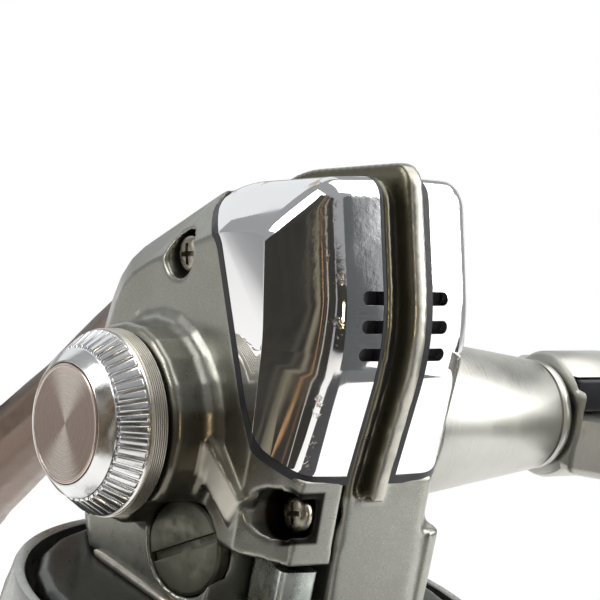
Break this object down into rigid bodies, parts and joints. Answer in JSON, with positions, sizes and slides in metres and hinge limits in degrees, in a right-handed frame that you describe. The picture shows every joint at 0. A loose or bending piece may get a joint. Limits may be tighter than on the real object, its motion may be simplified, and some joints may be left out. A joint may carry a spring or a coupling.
{
  "type": "spinning fishing reel",
  "caption": "Fixed-spool fishing reel with a cranked handle, turning rotor and bail, sliding spool with front drag, chrome rear guards and a foot for a rod seat.",
  "frame": {"origin": "middle of the drag knob's flat front face, on the spool axis; the reel stands on this face", "axes": "+Z along the spool axis towards the rear of the gearbox, +X towards the handle, +Y towards the foot and the rod"},
  "size_m": [0.1184, 0.1144, 0.1239],
  "materials": {
    "black_rubber": "matt black",
    "bright_steel": "bright ground steel",
    "champagne_paint": "metallic champagne-grey paint on cast metal",
    "chrome": "polished plate",
    "dark_grey": "dark grey moulded",
    "dark_nickel": "dark nickel",
    "drag_felt": "greased felt disc",
    "gear_brass": "machined",
    "grip_rubber": "soft grip",
    "satin_aluminium": "satin",
    "spun_rose": "spun rose-tinted disc"
  },
  "bodies": {
    "body": {"main_body": "champagne_paint", "side_cover": "champagne_paint", "guard_left": "chrome", "guard_right": "chrome", "guard_backing_left": "black_rubber", "guard_backing_right": "black_rubber", "handle_cap": "chrome", "cap_disc": "spun_rose", "oil_port_plug": "dark_nickel", "cover_screw_rear": "dark_nickel", "cover_screw_belly": "dark_nickel", "cover_screw_leg": "dark_nickel", "gear_bearing_left": "bright_steel", "gear_bearing_right": "bright_steel", "pinion_bearing": "bright_steel", "roller_clutch": "bright_steel", "slider_guide": "bright_steel", "switch_pin": "bright_steel"},
    "rotor": {"rotor": "champagne_paint", "rotor_nut": "bright_steel", "pinion": "gear_brass", "arm_cover_left": "dark_grey", "arm_cover_right": "dark_grey", "bail_screw_left": "dark_nickel", "bail_screw_right": "dark_nickel"},
    "bail": {"roller_lever": "satin_aluminium", "cam_lever": "satin_aluminium", "bail_wire": "chrome", "roller_axle": "dark_nickel"},
    "roller": {"line_roller": "chrome"},
    "crank": {"drive_gear": "gear_brass", "handle_shank": "satin_aluminium", "handle_arm": "satin_aluminium", "fold_block": "black_rubber", "fold_pin": "bright_steel", "knob_post": "bright_steel"},
    "grip": {"handle_knob": "grip_rubber", "knob_cap": "satin_aluminium", "knob_washer": "gear_brass"},
    "slider_crank": {"slider_crank": "gear_brass"},
    "shaft": {"main_shaft": "bright_steel", "oscillation_slider": "bright_steel", "slider_clip": "bright_steel", "spool_seat": "gear_brass"},
    "spool": {"spool": "satin_aluminium", "line_clip": "chrome", "drag_washer_1": "drag_felt", "drag_washer_2": "bright_steel", "drag_washer_3": "drag_felt", "drag_retainer": "bright_steel"},
    "drag_knob": {"drag_knob": "dark_grey", "drag_knob_plate": "satin_aluminium"},
    "reverse_switch": {"reverse_switch": "chrome"}
  },
  "joints": [
    {"name": "rotor_spin", "type": "hinge", "parent": "body", "child": "rotor", "pos_m": [0, 0, 0.0795], "axis": [0, 0, 1], "continuous": true},
    {"name": "handle_crank", "type": "hinge", "parent": "body", "child": "crank", "pos_m": [0, 0.0055, 0.0954], "axis": [1, 0, 0], "continuous": true},
    {"name": "slider_crank_spin", "type": "hinge", "parent": "body", "child": "slider_crank", "pos_m": [0, -0.0015, 0.10706], "axis": [1, 0, 0], "continuous": true},
    {"name": "spool_travel", "type": "slide", "parent": "body", "child": "shaft", "axis": [0, 0, 1], "range_m": [0, 0.012]},
    {"name": "spool_slip", "type": "hinge", "parent": "shaft", "child": "spool", "pos_m": [0, 0, 0], "axis": [0, 0, 1], "continuous": true},
    {"name": "drag_adjust", "type": "hinge", "parent": "spool", "child": "drag_knob", "pos_m": [0, 0, 0], "axis": [0, 0, 1], "range_deg": [-180, 360]},
    {"name": "bail_flip", "type": "hinge", "parent": "rotor", "child": "bail", "pos_m": [0, 0, 0.043], "axis": [1, 0, 0], "range_deg": [0, 118]},
    {"name": "line_roller_spin", "type": "hinge", "parent": "bail", "child": "roller", "pos_m": [0, -0.009, 0.029], "axis": [1, 0, 0], "continuous": true},
    {"name": "knob_spin", "type": "hinge", "parent": "crank", "child": "grip", "pos_m": [0, -0.0465, 0.0954], "axis": [1, 0, 0], "continuous": true},
    {"name": "reverse_switch_turn", "type": "hinge", "parent": "body", "child": "reverse_switch", "pos_m": [-0.0053, -0.0077, 0.0795], "axis": [0, 0, 1], "range_deg": [-16, 0]}
  ],
  "couplings": [
    {"joint": "handle_crank", "follows": "rotor_spin", "ratio": -0.2},
    {"joint": "slider_crank_spin", "follows": "rotor_spin", "ratio": 0.10909}
  ]
}
